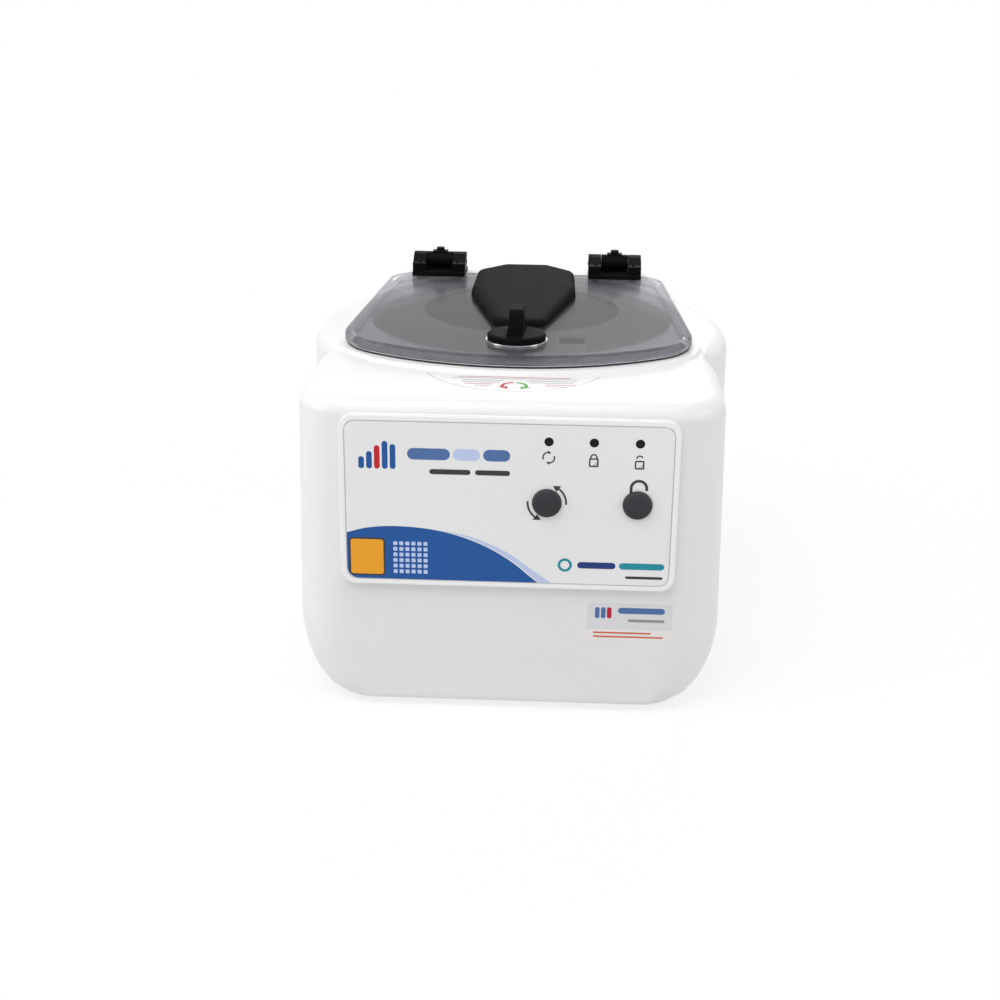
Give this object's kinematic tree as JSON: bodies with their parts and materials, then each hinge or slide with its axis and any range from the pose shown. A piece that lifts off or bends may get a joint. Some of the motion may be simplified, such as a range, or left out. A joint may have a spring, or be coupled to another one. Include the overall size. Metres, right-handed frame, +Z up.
{
  "type": "bench centrifuge",
  "caption": "Bench centrifuge with drum-shaped white body, hinged frosted lid, turn-knob latch, button panel and a swing-out tube rotor.",
  "frame": {"origin": "on the table under the middle of the body's box", "axes": "+Z up, front panel faces -Y, +X to the right of someone facing the panel"},
  "size_m": [0.305, 0.365, 0.2498],
  "materials": {
    "cabinet_white": "satin moulded plastic",
    "zinc_steel": "zinc plated",
    "rubber_black": "matt",
    "steel": "satin",
    "bezel_white": "satin",
    "panel_print": "printed satin film",
    "window_dark": "clear dark",
    "board_green": "solder mask",
    "coil_grey": "satin",
    "hinge_black": "moulded nylon",
    "screw_black": "black oxide",
    "bowl_steel": "spun",
    "motor_grey": "satin",
    "inlet_black": "moulded",
    "lid_frosted": "frosted translucent",
    "cover_black": "fine texture",
    "ring_bright": "bright",
    "knob_black": "fine texture",
    "button_grey": "satin dome",
    "rotor_alloy": "machined",
    "nut_black": "moulded",
    "holder_alloy": "turned"
  },
  "bodies": {
    "cabinet": {"cabinet": "cabinet_white", "base_plate": "zinc_steel", "feet": "rubber_black", "base_screws": "steel", "panel_bezel": "bezel_white", "panel_skin": "panel_print", "indicator_windows": "window_dark", "circuit_board": "board_green", "seat_seal": "rubber_black", "strike_plate": "steel", "lock_solenoid": "coil_grey", "hinge_base_leaves": "hinge_black", "hinge_pins": "steel", "base_leaf_screws": "screw_black", "chamber_bowl": "bowl_steel", "bowl_pan": "bowl_steel", "bowl_seal": "rubber_black", "bowl_posts": "steel", "motor_plate": "zinc_steel", "motor_isolators": "rubber_black", "motor": "motor_grey", "shaft_boot": "rubber_black", "power_inlet": "inlet_black", "inlet_screws": "steel"},
    "lid": {"lid": "lid_frosted", "lid_cover": "cover_black", "knob_ring": "ring_bright", "lock_tongue": "steel", "hinge_lid_leaves": "hinge_black", "lid_leaf_screws": "screw_black"},
    "latch": {"latch_knob": "knob_black", "latch_shaft": "steel", "latch_cam": "steel"},
    "lock": {"lock_bolt": "steel"},
    "start_button": {"start_button": "button_grey"},
    "unlock_button": {"unlock_button": "button_grey"},
    "rotor": {"rotor_shaft": "steel", "rotor": "rotor_alloy", "rotor_nut": "nut_black"},
    "holder_1": {"tube_holder_1": "holder_alloy"},
    "holder_2": {"tube_holder_2": "holder_alloy"},
    "holder_3": {"tube_holder_3": "holder_alloy"},
    "holder_4": {"tube_holder_4": "holder_alloy"},
    "holder_5": {"tube_holder_5": "holder_alloy"},
    "holder_6": {"tube_holder_6": "holder_alloy"}
  },
  "joints": [
    {"name": "lid_hinge", "type": "hinge", "parent": "cabinet", "child": "lid", "pos_m": [0, 0.1555, 0.2355], "axis": [-1, 0, 0], "range_deg": [0, 95]},
    {"name": "knob_turn", "type": "hinge", "parent": "lid", "child": "latch", "pos_m": [0, -0.0665, 0.23], "axis": [0, 0, 1], "range_deg": [0, 90]},
    {"name": "lock_slide", "type": "slide", "parent": "cabinet", "child": "lock", "axis": [0, 1, 0], "range_m": [0, 0.008]},
    {"name": "start_press", "type": "slide", "parent": "cabinet", "child": "start_button", "axis": [0, 1, 0], "range_m": [0, 0.0015], "stiffness_N_per_m": 1500, "springref_m": -0.0005},
    {"name": "unlock_press", "type": "slide", "parent": "cabinet", "child": "unlock_button", "axis": [0, 1, 0], "range_m": [0, 0.0015], "stiffness_N_per_m": 1500, "springref_m": -0.0005},
    {"name": "rotor_spin", "type": "hinge", "parent": "cabinet", "child": "rotor", "pos_m": [0, 0.0295, 0.165], "axis": [0, 0, 1], "continuous": true},
    {"name": "holder_1_swing", "type": "hinge", "parent": "rotor", "child": "holder_1", "pos_m": [0.05, 0.0295, 0.165], "axis": [0, -1, 0], "range_deg": [0, 90]},
    {"name": "holder_2_swing", "type": "hinge", "parent": "rotor", "child": "holder_2", "pos_m": [0.025, 0.0728, 0.165], "axis": [0.866, -0.5, 0], "range_deg": [0, 90]},
    {"name": "holder_3_swing", "type": "hinge", "parent": "rotor", "child": "holder_3", "pos_m": [-0.025, 0.0728, 0.165], "axis": [0.866, 0.5, 0], "range_deg": [0, 90]},
    {"name": "holder_4_swing", "type": "hinge", "parent": "rotor", "child": "holder_4", "pos_m": [-0.05, 0.0295, 0.165], "axis": [0, 1, 0], "range_deg": [0, 90]},
    {"name": "holder_5_swing", "type": "hinge", "parent": "rotor", "child": "holder_5", "pos_m": [-0.025, -0.0138, 0.165], "axis": [-0.866, 0.5, 0], "range_deg": [0, 90]},
    {"name": "holder_6_swing", "type": "hinge", "parent": "rotor", "child": "holder_6", "pos_m": [0.025, -0.0138, 0.165], "axis": [-0.866, -0.5, 0], "range_deg": [0, 90]}
  ],
  "couplings": [
    {"joint": "holder_2_swing", "follows": "holder_1_swing", "ratio": 1},
    {"joint": "holder_3_swing", "follows": "holder_1_swing", "ratio": 1},
    {"joint": "holder_4_swing", "follows": "holder_1_swing", "ratio": 1},
    {"joint": "holder_5_swing", "follows": "holder_1_swing", "ratio": 1},
    {"joint": "holder_6_swing", "follows": "holder_1_swing", "ratio": 1}
  ]
}
